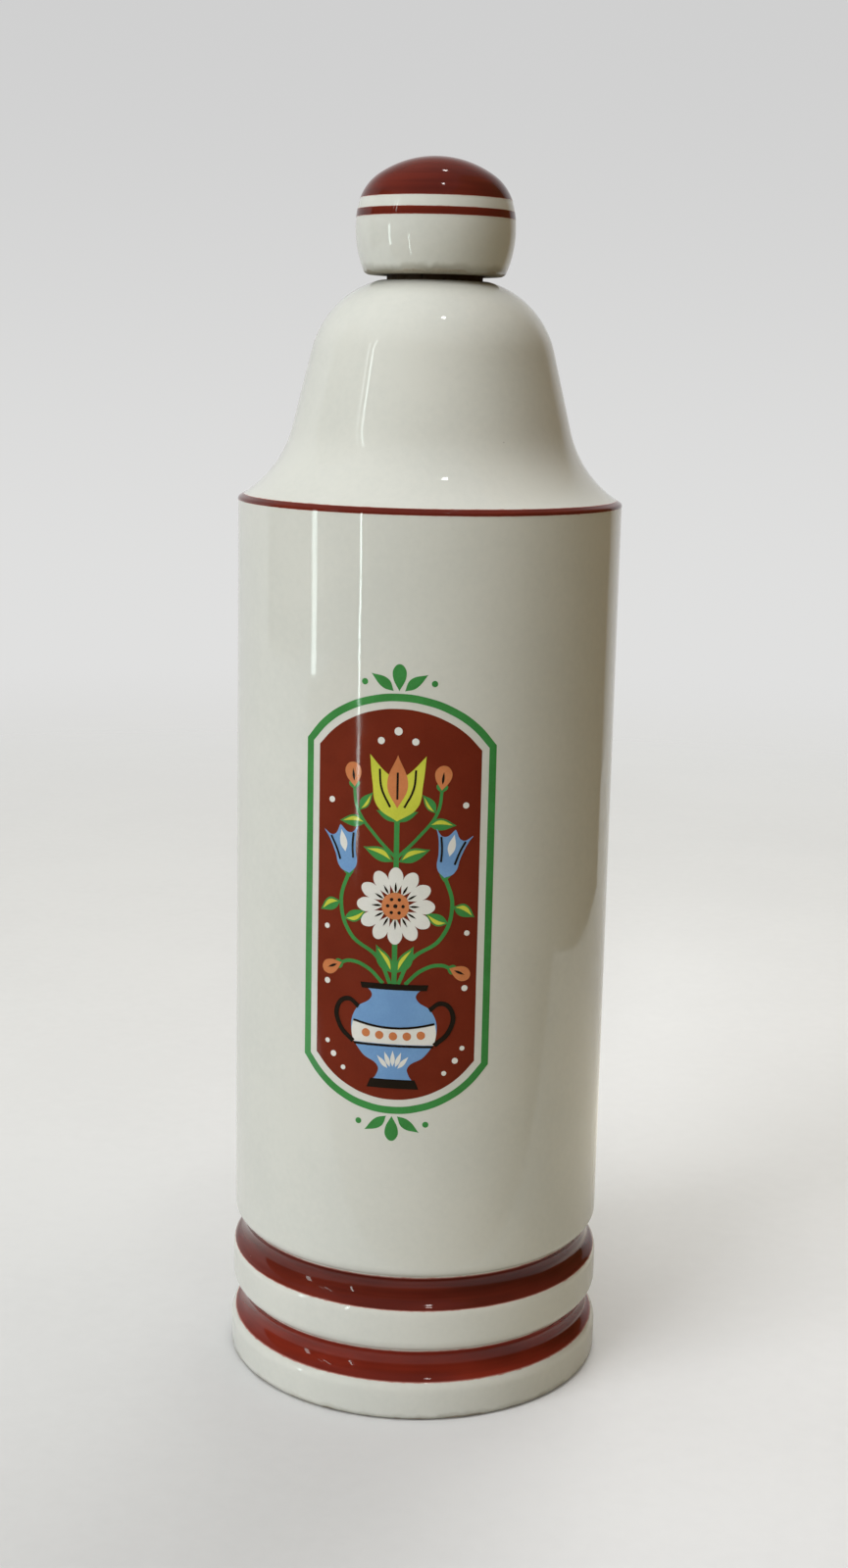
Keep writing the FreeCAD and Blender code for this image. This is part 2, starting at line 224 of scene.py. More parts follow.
def bottle_inside():
    """From the mouth's rounded edge, down the neck and the wall, to the middle of the floor."""
    ceiling = MOUTH_TOP - NECK_DEPTH
    outward = Vector((CONE_RISE, CONE_RUN)).normalized() * WALL
    cone_foot = (CONE_FOOT[0] - outward.x, CONE_FOOT[1] - outward.y)
    cone_top = (CONE_TOP[0] - outward.x, CONE_TOP[1] - outward.y)
    crown_radius = math.dist(CROWN_CENTRE, CONE_TOP) - WALL
    ceiling_end = CROWN_CENTRE[0] + math.sqrt(crown_radius ** 2 - (ceiling - CROWN_CENTRE[1]) ** 2)
    inner = BODY_RADIUS - WALL
    ridge = GROOVE_RADIUS + WALL
    ridge_half = math.sqrt(ridge ** 2 - (GROOVE_CENTRE_RADIUS - inner) ** 2)
    flare_drop = math.sqrt((FLARE_RADIUS + WALL) ** 2 - (FLARE_CENTRE[0] - inner) ** 2)
    shoulder = (inner, FLARE_CENTRE[1] - flare_drop)
    upper = (GROOVE_CENTRE_RADIUS, UPPER_GROOVE)
    upper_top, upper_foot = (inner, UPPER_GROOVE + ridge_half), (inner, UPPER_GROOVE - ridge_half)
    lower = (GROOVE_CENTRE_RADIUS, LOWER_GROOVE)
    lower_top = (inner, LOWER_GROOVE + ridge_half)
    corner_rise = FLOOR + FLOOR_CORNER
    corner_reach = math.sqrt((ridge + FLOOR_CORNER) ** 2 - (LOWER_GROOVE - corner_rise) ** 2)
    corner = (GROOVE_CENTRE_RADIUS - corner_reach, corner_rise)
    lower_foot = toward(lower, corner, ridge)
    edge = (MOUTH_RADIUS + LIP_EDGE, MOUTH_TOP - LIP_EDGE)
    return joined(
        arc(edge, (edge[0], MOUTH_TOP), (MOUTH_RADIUS, edge[1]), steps=6),
        run((MOUTH_RADIUS, edge[1]), (THROAT_RADIUS, ceiling), steps=6),
        run((THROAT_RADIUS, ceiling), (ceiling_end, ceiling), steps=4),
        arc(CROWN_CENTRE, (ceiling_end, ceiling), cone_top, steps=12),
        run(cone_top, cone_foot, steps=4),
        arc(FLARE_CENTRE, cone_foot, shoulder, steps=14),
        run(shoulder, upper_top, steps=24),
        arc(upper, upper_top, upper_foot, steps=12),
        run(upper_foot, lower_top),
        arc(lower, lower_top, lower_foot, steps=8),
        arc(corner, lower_foot, (corner[0], FLOOR), steps=8),
        run((corner[0], FLOOR), (0, FLOOR), steps=8),
    )


def bottle_base():
    """From the middle of the recessed base to the resting face."""
    ring_edge = FOOT_RADIUS - FOOT_RING
    recess_edge = (ring_edge - RECESS_DRAFT, RECESS_DEPTH)
    return joined(
        run((0, RECESS_DEPTH), recess_edge, steps=8),
        run(recess_edge, (ring_edge, 0), steps=4),
        run((ring_edge, 0), (FOOT_FLAT, 0), steps=3),
    )


def knob_outside():
    """From the edge of the socket, across the underside and up the barrel, to the top of the dome."""
    foot = Vector((KNOB_FOOT_RADIUS, KNOB_BASE))
    rim = Vector((KNOB_RIM_RADIUS, KNOB_BASE + KNOB_BARREL_HEIGHT))
    chord = rim - foot
    inward = Vector((-chord.y, chord.x)).normalized()
    reach = math.sqrt(KNOB_BARREL_CURVE ** 2 - chord.length_squared / 4)
    barrel = tuple((foot + rim) / 2 + inward * reach)
    dome_rise = KNOB_TOP - rim.y
    dome_radius = (KNOB_RIM_RADIUS ** 2 + dome_rise ** 2) / (2 * dome_rise)
    dome = (0, KNOB_TOP - dome_radius)
    edge_height = KNOB_BASE + KNOB_EDGE
    edge_reach = math.sqrt((KNOB_BARREL_CURVE - KNOB_EDGE) ** 2 - (edge_height - barrel[1]) ** 2)
    edge = (barrel[0] + edge_reach, edge_height)
    shoulder = crossing(barrel, KNOB_BARREL_CURVE - KNOB_ROUND, dome, dome_radius - KNOB_ROUND)
    edge_end = toward(barrel, edge, KNOB_BARREL_CURVE)
    barrel_end = toward(barrel, shoulder, KNOB_BARREL_CURVE)
    dome_start = toward(dome, shoulder, dome_radius)
    return joined(
        run((SOCKET_RADIUS, KNOB_BASE), (edge[0], KNOB_BASE), steps=3),
        arc(edge, (edge[0], KNOB_BASE), edge_end, steps=8),
        arc(barrel, edge_end, barrel_end, steps=24),
        arc(shoulder, barrel_end, dome_start, steps=16),
        arc(dome, dome_start, (0, KNOB_TOP), steps=24),
    )


def knob_inside():
    """From the top of the hollow, down the socket, to the underside."""
    socket_top = SHANK_TOP + GLUE_THICKNESS + SOCKET_ROOM
    hollow_top = KNOB_TOP - KNOB_CROWN_WALL
    rise = hollow_top - socket_top
    radius = (SOCKET_RADIUS ** 2 + rise ** 2) / (2 * rise)
    return joined(
        arc((0, hollow_top - radius), (0, hollow_top), (SOCKET_RADIUS, socket_top), steps=12),
        run((SOCKET_RADIUS, socket_top), (SOCKET_RADIUS, KNOB_BASE), steps=8),
    )


def height_cut(outline, low, high):
    """The part of a rising outline between two heights, or up to its end where that comes first."""
    def at(height):
        for (r0, z0), (r1, z1) in zip(outline, outline[1:]):
            if z0 <= height <= z1 and z1 > z0:
                return (r0 + (r1 - r0) * (height - z0) / (z1 - z0), height)
        return outline[-1]
    between = [point for point in outline if low < point[1] < high]
    return joined([at(low)], between, [at(high)])


# Modelling by hand

def select_only(*pieces):
    """Select these pieces alone, with the first one active."""
    bpy.ops.object.select_all(action="DESELECT")
    for piece in pieces:
        piece.select_set(True)
    bpy.context.view_layer.objects.active = pieces[0]


def apply_modifiers(piece):
    select_only(piece)
    for modifier in list(piece.modifiers):
        bpy.ops.object.modifier_apply(modifier=modifier.name)


def started(name, add_primitive, **size):
    """A new primitive, selected alone."""
    bpy.ops.object.select_all(action="DESELECT")
    add_primitive(**size)
    piece = bpy.context.object
    piece.name = name
    piece.data.name = name
    return piece


def turned(name, outline):
    """Draw an outline of (radius, height) points vertex by vertex and spin it about Z."""
    piece = started(name, bpy.ops.mesh.primitive_plane_add, size=MM)
    bpy.ops.object.mode_set(mode="EDIT")
    bpy.ops.mesh.select_all(action="SELECT")
    bpy.ops.mesh.merge(type="CENTER")
    bpy.ops.transform.translate(value=(outline[0][0], 0, outline[0][1]))
    for (r0, z0), (r1, z1) in zip(outline, outline[1:]):
        bpy.ops.mesh.extrude_vertices_move(TRANSFORM_OT_translate={"value": (r1 - r0, 0, z1 - z0)})
    bpy.ops.mesh.select_all(action="SELECT")
    bpy.ops.mesh.spin(steps=TURN_STEPS, angle=math.tau, center=(0, 0, 0), axis=(0, 0, 1))
    bpy.ops.mesh.select_all(action="SELECT")
    bpy.ops.mesh.remove_doubles(threshold=MERGE)
    bpy.ops.mesh.normals_make_consistent(inside=False)
    bpy.ops.object.mode_set(mode="OBJECT")
    bpy.ops.object.shade_smooth_by_angle(angle=SMOOTH_ANGLE)
    return piece


def finish_piece(piece, material, body, slot, *nodes):
    """Give a piece its one material, put it on its body and hide the CAD nodes it stands for. The slot is not
    used.
    """
    piece.data.materials.clear()
    piece.data.materials.append(material)
    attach(piece, body)
    if nodes:
        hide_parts(*nodes)
    return piece


# Shader nodes

def feed(tree, sockets, given):
    """Link each socket that is given another socket, and set each that is given a value."""
    for name, source in given.items():
        if isinstance(source, bpy.types.NodeSocket):
            tree.links.new(source, sockets[name])
        else:
            sockets[name].default_value = source


def add(tree, kind, given=None, **settings):
    """Add a node with its settings and its inputs."""
    node = tree.nodes.new(kind)
    for name, setting in settings.items():
        setattr(node, name, setting)
    feed(tree, node.inputs, given or {})
    return node


def mixed(tree, factor, first, second):
    """Blend of two colours by a factor socket."""
    return add(tree, "ShaderNodeMix", {0: factor, 6: first, 7: second}, data_type="RGBA").outputs[2]


def ramped(tree, value, low, high, to_low=0.0, to_high=1.0):
    """The value brought from one range to another, smoothly and clamped."""
    given = {"Value": value, "From Min": low, "From Max": high, "To Min": to_low, "To Max": to_high}
    return add(tree, "ShaderNodeMapRange", given, interpolation_type="SMOOTHSTEP").outputs["Result"]


def falling(tree, value, low, high):
    """1 where the value is low, and smoothly down to 0 where it is high."""
    return ramped(tree, value, low, high, 1.0, 0.0)


def sums(tree, operation, first, second):
    return add(tree, "ShaderNodeMath", {0: first, 1: second}, operation=operation).outputs[0]


def plus(tree, first, second):
    return sums(tree, "ADD", first, second)


def times(tree, first, second):
    return sums(tree, "MULTIPLY", first, second)


def blended(tree, first, second, share):
    """Two values added, the first by its share and the second by the rest."""
    return plus(tree, times(tree, first, share), times(tree, second, 1 - share))


def noise(tree, place, scale, detail=2.0, roughness=0.5):
    given = {"Vector": place, "Scale": scale, "Detail": detail, "Roughness": roughness}
    return add(tree, "ShaderNodeTexNoise", given).outputs["Fac"]


def stretched(tree, place, scale):
    return add(tree, "ShaderNodeMapping", {"Vector": place, "Scale": scale}).outputs["Vector"]


def split(tree, vector):
    return add(tree, "ShaderNodeSeparateXYZ", {"Vector": vector}).outputs


def object_place(tree):
    return add(tree, "ShaderNodeTexCoord").outputs["Object"]


def new_group(name, inputs, outputs):
    """A shader node group with named sockets, and its inner ends."""
    tree = bpy.data.node_groups.new(name, "ShaderNodeTree")
    for way, sockets in (("INPUT", inputs), ("OUTPUT", outputs)):
        for socket, kind in sockets:
            tree.interface.new_socket(socket, in_out=way, socket_type=kind)
    return tree, tree.nodes.new("NodeGroupInput").outputs, tree.nodes.new("NodeGroupOutput").inputs


def use_group(tree, group, given):
    return add(tree, "ShaderNodeGroup", given, node_tree=group).outputs


COLOUR = "NodeSocketColor"
NUMBER = "NodeSocketFloat"


def mottle_group():
    """Slow drift between two tones, with a finer grain in it."""
    tree, given, out = new_group(
        "soft_mottle",
        [("Tone A", COLOUR), ("Tone B", COLOUR), ("Patches", NUMBER), ("Grain", NUMBER)],
        [("Colour", COLOUR), ("Drift", NUMBER)],
    )
    place = object_place(tree)
    patches = noise(tree, place, given["Patches"], detail=3.0, roughness=0.55)
    grain = noise(tree, place, given["Grain"], roughness=0.6)
    drift = ramped(tree, blended(tree, patches, grain, share=0.7), 0.36, 0.64)
    feed(tree, out, {"Colour": mixed(tree, drift, given["Tone A"], given["Tone B"]), "Drift": drift})
    return tree


def glaze_skin_group():
    """Long shallow waves and fine ripple of a fired glaze, and its uneven gloss."""
    tree, given, out = new_group(
        "glaze_skin",
        [("Gloss", NUMBER), ("Unevenness", NUMBER)],
        [("Height", NUMBER), ("Roughness", NUMBER)],
    )
    place = object_place(tree)
    waves = noise(tree, place, 55.0, detail=1.0)
    ripple = times(tree, noise(tree, place, 420.0), 0.07)
    patchy = ramped(tree, noise(tree, place, 120.0, detail=3.0), 0.4, 0.7)
    uneven = times(tree, patchy, given["Unevenness"])
    feed(tree, out, {"Height": plus(tree, waves, ripple), "Roughness": plus(tree, uneven, given["Gloss"])})
    return tree


def streak_group():
    """Brush streaks that run round the piece, as left by a loaded brush on a turning wheel."""
    tree, given, out = new_group(
        "brush_streaks",
        [("Thin", COLOUR), ("Thick", COLOUR)],
        [("Colour", COLOUR), ("Load", NUMBER)],
    )
    place = object_place(tree)
    hairs = noise(tree, stretched(tree, place, (24.0, 24.0, 1300.0)), 1.0, roughness=0.55)
    loads = noise(tree, stretched(tree, place, (45.0, 45.0, 190.0)), 1.0)
    load = ramped(tree, blended(tree, hairs, loads, share=0.28), 0.32, 0.68)
    feed(tree, out, {"Colour": mixed(tree, load, given["Thin"], given["Thick"]), "Load": load})
    return tree


def speck_group():
    """Sparse pinhead specks: a share of the cells has one, each of its own size."""
    tree, given, out = new_group(
        "pinhead_specks",
        [("Cells", NUMBER), ("Size", NUMBER), ("Share", NUMBER)],
        [("Mask", NUMBER)],
    )
    cells = add(tree, "ShaderNodeTexVoronoi", {"Vector": object_place(tree), "Scale": given["Cells"]}).outputs
    chance = add(tree, "ShaderNodeSeparateColor", {"Color": cells["Color"]}).outputs
    chosen = sums(tree, "LESS_THAN", chance["Red"], given["Share"])
    size = times(tree, chance["Green"], given["Size"])
    spot = add(tree, "ShaderNodeMapRange", {
        "Value": cells["Distance"], "From Min": 0.0, "From Max": size, "To Min": 1.0, "To Max": 0.0,
    }).outputs["Result"]
    feed(tree, out, {"Mask": times(tree, spot, chosen)})
    return tree


MOTTLE = mottle_group()
GLAZE_SKIN = glaze_skin_group()
STREAKS = streak_group()
SPECKS = speck_group()


def mottled(tree, tones, patches, grain):
    tone_a, tone_b = tones
    return use_group(tree, MOTTLE, {"Tone A": tone_a, "Tone B": tone_b, "Patches": patches, "Grain": grain})


def specks(tree, cells, size, share):
    return use_group(tree, SPECKS, {"Cells": cells, "Size": size, "Share": share})["Mask"]


# Finishes, with patterns counted per metre

GLAZE_IOR = 1.5
GLAZE_BUMP = 0.22
GLAZE_RELIEF = 0.25 * MM
PORCELAIN_COOL = (0.665, 0.680, 0.635, 1)
PORCELAIN_WARM = (0.705, 0.715, 0.665, 1)
# Bare clay, darker than the clay itself, as painted shade along the foot
BISQUE_AND_SHADE = ((0.340, 0.305, 0.240, 1), (0.235, 0.208, 0.158, 1))
KILN_SPECK = (0.16, 0.12, 0.085, 1)
# Grime, deepened as painted shade along the foot
GRIME_AND_SHADE = (0.185, 0.165, 0.105, 1)
GLAZE_WAVER = 0.35 * MM
FULL_COAT = ((0.150, 0.0200, 0.0115, 1), (0.088, 0.0125, 0.008, 1))
THIN_COAT = ((0.235, 0.0250, 0.0130, 1), (0.140, 0.0160, 0.009, 1))
ENAMEL_EDGE = (0.46, 0.195, 0.160, 1)
CORK = ((0.36, 0.205, 0.10, 1), (0.52, 0.335, 0.185, 1))
CORK_LENTICEL = (0.085, 0.042, 0.02, 1)
CORK_PALE = (0.62, 0.45, 0.28, 1)
CORK_DAMP = (0.20, 0.10, 0.045, 1)
# Grime on the cork above the mouth, deepened as painted shade under the knob
CORK_GRIMY_SHADE = (0.035, 0.02, 0.011, 1)
CORK_RELIEF = 0.25 * MM
DAMP_RISE = 9 * MM
GRIME_AND_SHADE_DEPTH = 2.5 * MM
RESIN = ((0.33, 0.19, 0.07, 1), (0.58, 0.42, 0.20, 1))
RESIN_RELIEF = 0.2 * MM


def new_material(name):
    material = bpy.data.materials.new(name)
    material.use_nodes = True
    return material, material.node_tree, material.node_tree.nodes["Principled BSDF"]


def bumped(tree, shader, height, strength, distance):
    bump = add(tree, "ShaderNodeBump", {"Height": height, "Strength": strength, "Distance": distance})
    feed(tree, shader.inputs, {"Normal": bump.outputs["Normal"]})


def glazed(tree, shader, colour, gloss, unevenness, relief):
    """Give a shader its colour and the uneven gloss and waves of fired glaze, over a relief of its own."""
    skin = use_group(tree, GLAZE_SKIN, {"Gloss": gloss, "Unevenness": unevenness})
    feed(tree, shader.inputs, {"Base Color": colour, "Roughness": skin["Roughness"], "IOR": GLAZE_IOR})
    bumped(tree, shader, plus(tree, skin["Height"], relief), GLAZE_BUMP, GLAZE_RELIEF)


def porcelain(name, glaze_foot, stain_and_shade, stain_and_shade_rise):
    """White porcelain under a clear greenish glaze, left bare at its foot and patchily stained above that;
    bare clay and stain are darkened further as painted shade along the lower edge.
    """
    material, tree, shader = new_material(name)
    place = object_place(tree)
    body = mottled(tree, (PORCELAIN_COOL, PORCELAIN_WARM), patches=30.0, grain=700.0)["Colour"]
    specked = times(tree, specks(tree, cells=70.0, size=0.035, share=0.22), 0.75)
    waver = ramped(tree, noise(tree, place, 260.0), 0.3, 0.7, -GLAZE_WAVER, GLAZE_WAVER)
    level = sums(tree, "SUBTRACT", plus(tree, split(tree, place)["Z"], waver), glaze_foot)
    bare = falling(tree, level, 0.35 * MM, 0.75 * MM)
    patchy = ramped(tree, noise(tree, place, 130.0, detail=3.0), 0.32, 0.68, 0.5, 1.0)
    # Stain and painted shade: darker towards the foot, in patches
    edge = ramped(tree, level, 0.6 * MM, stain_and_shade_rise, stain_and_shade, 0.0)
    shaded_and_grimed = mixed(tree, times(tree, edge, patchy), mixed(tree, specked, body, KILN_SPECK), GRIME_AND_SHADE)
    bare_and_shade = mottled(tree, BISQUE_AND_SHADE, patches=90.0, grain=2600.0)["Colour"]
    gloss = plus(tree, times(tree, bare, 0.6), 0.035)
    grain = times(tree, noise(tree, place, 4200.0), times(tree, bare, 0.25))
    glazed(tree, shader, mixed(tree, bare, shaded_and_grimed, bare_and_shade), gloss, unevenness=0.035, relief=grain)
    return material


def brushed_enamel(name, coat, heights, edges):
    """Red-brown enamel brushed on the turning piece, thinning out along the two edges of the stroke."""
    material, tree, shader = new_material(name)
    place = object_place(tree)
    height = split(tree, place)["Z"]
    streaks = use_group(tree, STREAKS, {"Thin": coat[0], "Thick": coat[1]})
    low, high = heights
    from_low = falling(tree, height, low, low + edges[0])
    from_high = ramped(tree, height, high - edges[1], high)
    thin = sums(tree, "MAXIMUM", from_low, from_high)
    broken = times(tree, thin, ramped(tree, noise(tree, place, 500.0), 0.25, 0.6, 0.75, 1.0))
    pink = mixed(tree, ramped(tree, broken, 0.0, 0.55), streaks["Colour"], ENAMEL_EDGE)
    faded = mixed(tree, ramped(tree, broken, 0.5, 1.0), pink, PORCELAIN_WARM)
    pinholes = times(tree, specks(tree, cells=300.0, size=0.10, share=0.10), 0.5)
    colour = mixed(tree, pinholes, faded, ENAMEL_EDGE)
    glazed(tree, shader, colour, gloss=0.03, unevenness=0.035, relief=times(tree, streaks["Load"], 0.08))
    shader.inputs["Specular IOR Level"].default_value = 0.3
    return material


def printed_ink(name, tones):
    """One screened ink of the print: flat, faintly mottled, with pinholes, under the same gloss."""
    material, tree, shader = new_material(name)
    tone = mottled(tree, tones, patches=140.0, grain=2400.0)
    pinholes = times(tree, specks(tree, cells=420.0, size=0.09, share=0.07), 0.6)
    colour = mixed(tree, pinholes, tone["Colour"], PORCELAIN_WARM)
    glazed(tree, shader, colour, gloss=0.07, unevenness=0.05, relief=times(tree, tone["Drift"], 0.04))
    return material


def cut_cork():
    """Cork with its grain, dark lenticels across it, a damp toe, and grime with painted shade from the mouth
    up to the knob.
    """
    material, tree, shader = new_material("cut_cork")
    place = object_place(tree)
    height = split(tree, place)["Z"]
    tone = mottled(tree, CORK, patches=190.0, grain=1500.0)
    rifts = noise(tree, stretched(tree, place, (900.0, 260.0, 420.0)), 1.0, detail=3.0, roughness=0.6)
    lenticels = ramped(tree, rifts, 0.60, 0.68)
    marked = mixed(tree, lenticels, tone["Colour"], CORK_LENTICEL)
    grains = add(tree, "ShaderNodeTexVoronoi", {"Vector": place, "Scale": 900.0}).outputs["Distance"]
    pale = mixed(tree, ramped(tree, grains, 0.0, 0.25, 0.3, 0.0), marked, CORK_PALE)
    damp = ramped(tree, height, CORK_TOE, CORK_TOE + DAMP_RISE, 0.55, 0.0)
    # Grime and painted shade: darker towards the mouth and dark above it, under the knob
    shade_and_grime = ramped(tree, height, MOUTH_TOP - GRIME_AND_SHADE_DEPTH, MOUTH_TOP, 0.0, 0.9)
    shaded_and_grimed = mixed(tree, shade_and_grime, mixed(tree, damp, pale, CORK_DAMP), CORK_GRIMY_SHADE)
    feed(tree, shader.inputs, {"Base Color": shaded_and_grimed, "Roughness": ramped(tree, rifts, 0.3, 0.7, 0.72, 0.9)})
    bumped(tree, shader, plus(tree, times(tree, lenticels, -0.8), grains), 0.5, CORK_RELIEF)
    return material


def set_resin():
    """Amber resin, cloudy where it was stirred."""
    material, tree, shader = new_material("set_resin")
    tone = mottled(tree, RESIN, patches=350.0, grain=2200.0)
    rough = ramped(tree, tone["Drift"], 0.0, 1.0, 0.22, 0.4)
    feed(tree, shader.inputs, {"Base Color": tone["Colour"], "Roughness": rough})
    bumped(tree, shader, tone["Drift"], 0.3, RESIN_RELIEF)
    return material


# Porcelain, cork and adhesive

def porcelain_bottle():
    outline = joined(bottle_base(), bottle_outside(), bottle_inside())
    bottle = turned("porcelain_bottle", outline)
    material = porcelain("bottle_porcelain", glaze_foot=0.0, stain_and_shade=0.55, stain_and_shade_rise=1.8 * MM)
    return finish_piece(bottle, material, "decanter", "glazed_porcelain", "decanter_body")


def porcelain_knob():
    knob = turned("porcelain_knob", joined(knob_inside(), knob_outside()))
    material = porcelain("knob_porcelain", glaze_foot=KNOB_BASE, stain_and_shade=0.8, stain_and_shade_rise=2.4 * MM)
    return finish_piece(knob, material, "stopper", "glazed_porcelain", "stopper_knob")


def tapered_cork():
    """The cork, pitted by pores that only go inwards, so that it still fits the mouth."""
    taper = (MOUTH_RADIUS - THROAT_RADIUS) / NECK_DEPTH
    toe_radius = MOUTH_RADIUS - CORK_CLEARANCE - (MOUTH_TOP - CORK_TOE) * taper
    toe_edge = (toe_radius - CORK_CHAMFER, CORK_TOE)
    chamfer_top = (toe_radius + CORK_CHAMFER * taper, CORK_TOE + CORK_CHAMFER)
    cork = turned("tapered_cork", joined(
        run((0, CORK_TOE), toe_edge, steps=24),
        run(toe_edge, chamfer_top, steps=5),
        run(chamfer_top, (SHANK_RADIUS, KNOB_BASE), steps=56),
        run((SHANK_RADIUS, KNOB_BASE), (SHANK_RADIUS, SHANK_TOP), steps=12),
        run((SHANK_RADIUS, SHANK_TOP), (0, SHANK_TOP), steps=6),
    ))
    pores = bpy.data.textures.new("cork_pores", "STUCCI")
    pores.noise_scale = CORK_PORE
    pitted = cork.modifiers.new("pores", "DISPLACE")
    pitted.texture = pores
    pitted.texture_coords = "LOCAL"
    pitted.mid_level = 1.0
    pitted.strength = CORK_PORE_DEPTH
    apply_modifiers(cork)
    return finish_piece(cork, cut_cork(), "stopper", "natural_cork", "stopper_cork")


def glue_bed():
    """The adhesive cup, with a hollow edge where it drew back between the cork and the knob."""
    edge = KNOB_BASE + GLUE_SETBACK
    bed_top = SHANK_TOP + GLUE_THICKNESS
    middle = (SHANK_RADIUS + SOCKET_RADIUS) / 2
    hollow = (middle, edge + GLUE_THICKNESS / 2)
    bed = turned("glue_bed", joined(
        run((0, SHANK_TOP), (SHANK_RADIUS, SHANK_TOP), steps=6),
        run((SHANK_RADIUS, SHANK_TOP), (SHANK_RADIUS, edge), steps=10),
        arc((middle, edge), (SHANK_RADIUS, edge), hollow, steps=5),
        arc((middle, edge), hollow, (SOCKET_RADIUS, edge), steps=5),
        run((SOCKET_RADIUS, edge), (SOCKET_RADIUS, bed_top), steps=10),
        run((SOCKET_RADIUS, bed_top), (0, bed_top), steps=6),
    ))
    return finish_piece(bed, set_resin(), "stopper", "resin_glue", "cork_glue")


# Painted rings

def painted_ring(name, side, heights, ground, body, coat, edges, waver):
    """A skin of enamel on a stretch of the ground's side, with edges as steady as a hand holds a brush."""
    ring = turned(name, height_cut(side, *heights))
    select_only(ring)
    bpy.ops.object.mode_set(mode="EDIT")
    bpy.ops.mesh.select_mode(type="VERT")
    bpy.ops.mesh.select_all(action="DESELECT")
    bpy.ops.mesh.select_non_manifold()
    bpy.ops.object.vertex_group_assign_new()
    bpy.ops.object.mode_set(mode="OBJECT")
    sway = bpy.data.textures.new(name + "_hand", "CLOUDS")
    sway.noise_scale = BRUSH_SWAY
    hand = ring.modifiers.new("hand", "DISPLACE")
    hand.texture = sway
    hand.texture_coords = "LOCAL"
    hand.direction = "Z"
    hand.strength = 2 * waver
    hand.vertex_group = ring.vertex_groups[0].name
    laid = ring.modifiers.new("laid", "SHRINKWRAP")
    laid.target = ground
    laid.wrap_mode = "ABOVE_SURFACE"
    laid.offset = PAINT
    film = ring.modifiers.new("film", "SOLIDIFY")
    film.thickness = PAINT_FILM
    film.offset = -1
    apply_modifiers(ring)
    ring.vertex_groups.clear()
    bpy.ops.object.shade_smooth_by_angle(angle=SMOOTH_ANGLE)
    return finish_piece(ring, brushed_enamel(name + "_enamel", coat, heights, edges), body, "fired_enamel")


def painted_rings(bottle, knob):
    """Broad strokes in the grooves and on the knob's top, narrow lines on its side and on the shoulder."""
    broad, narrow = (0.4 * MM, 0.9 * MM), (0.2 * MM, 0.2 * MM)
    loose, steady = 0.22 * MM, 0.1 * MM
    side = bottle_outside()
    painted_ring("lower_groove_ring", side, LOWER_RING, bottle, "decanter", THIN_COAT, broad, loose)
    painted_ring("upper_groove_ring", side, UPPER_RING, bottle, "decanter", FULL_COAT, broad, loose)
    painted_ring("shoulder_line", side, SHOULDER_LINE, bottle, "decanter", FULL_COAT, narrow, loose)
    side = knob_outside()
    painted_ring("knob_line", side, KNOB_LINE, knob, "stopper", FULL_COAT, narrow, steady)
    painted_ring("knob_cap", side, KNOB_CAP, knob, "stopper", FULL_COAT, narrow, steady)


# Print: outlines drawn flat in millimetres from the panel's middle, as (across, up, kind of knot)

PANEL_HALF = 19.6
PANEL_APEX = 43.0
PANEL_ARCH = 24.0
BORDER = 1.5
BORDER_GAP = 1.5
COLUMN = 1.0 * MM

INKS = {
    "field": ((0.148, 0.0180, 0.0088, 1), (0.170, 0.0215, 0.0105, 1)),
    "green": ((0.042, 0.235, 0.058, 1), (0.052, 0.285, 0.072, 1)),
    "blue": ((0.160, 0.325, 0.600, 1), (0.190, 0.375, 0.660, 1)),
    "white": ((0.745, 0.750, 0.710, 1), (0.800, 0.800, 0.760, 1)),
    "lime": ((0.540, 0.590, 0.060, 1), (0.640, 0.660, 0.075, 1)),
    "apricot": ((0.560, 0.190, 0.072, 1), (0.640, 0.230, 0.090, 1)),
    "black": ((0.0065, 0.006, 0.006, 1), (0.0095, 0.0085, 0.0085, 1)),
}


def bend(x, z):
    return (x, z, "AUTO")


def corner(x, z):
    return (x, z, "VECTOR")


def along(base, angle, ahead, aside=0.0):
    """A point ahead of base in a direction in degrees, and aside of that line to the left."""
    turn = math.radians(angle)
    x = base[0] + ahead * math.cos(turn) - aside * math.sin(turn)
    z = base[1] + ahead * math.sin(turn) + aside * math.cos(turn)
    return x, z


def shaped(base, angle, length, width, knots):
    """An outline given in shares of a length and of half a width, laid in a direction."""
    return [(*along(base, angle, a * length, b * width / 2), kind) for a, b, kind in knots]


def mirrored(outline):
    return [(-x, z, kind) for x, z, kind in outline]


def both_halves(half):
    """A closed outline from its right half, drawn upwards."""
    return half + mirrored(half)[::-1]


def both_sides(half, tip):
    """A blossom's knots from the knots of one side and the knot at its tip."""
    return half + [tip] + [(a, -b, kind) for a, b, kind in half[:0:-1]]


def dot(centre, radius):
    return [bend(*along(centre, angle, radius)) for angle in range(0, 360, 60)]


def petal(base, angle, length, width):
    knots = both_sides([corner(0, 0), bend(0.55, 0.92), bend(0.86, 0.74)], bend(1, 0))
    return shaped(base, angle, length, width, knots)


def leaf(base, angle, length, width, bow=0.0):
    knots = [corner(0, 0), bend(0.38, 1 + bow), corner(1, bow), bend(0.38, bow - 1)]
    return shaped(base, angle, length, width, knots)


def lit_half(base, angle, length, width, bow=0.0):
    """The lighter upper half of a leaf."""
    upper = [corner(0.1, 0.06 + 0.2 * bow), bend(0.4, 0.72 + bow)]
    lower = [corner(0.88, bow), bend(0.42, 0.12 + 0.75 * bow)]
    return shaped(base, angle, length, width, upper + lower)


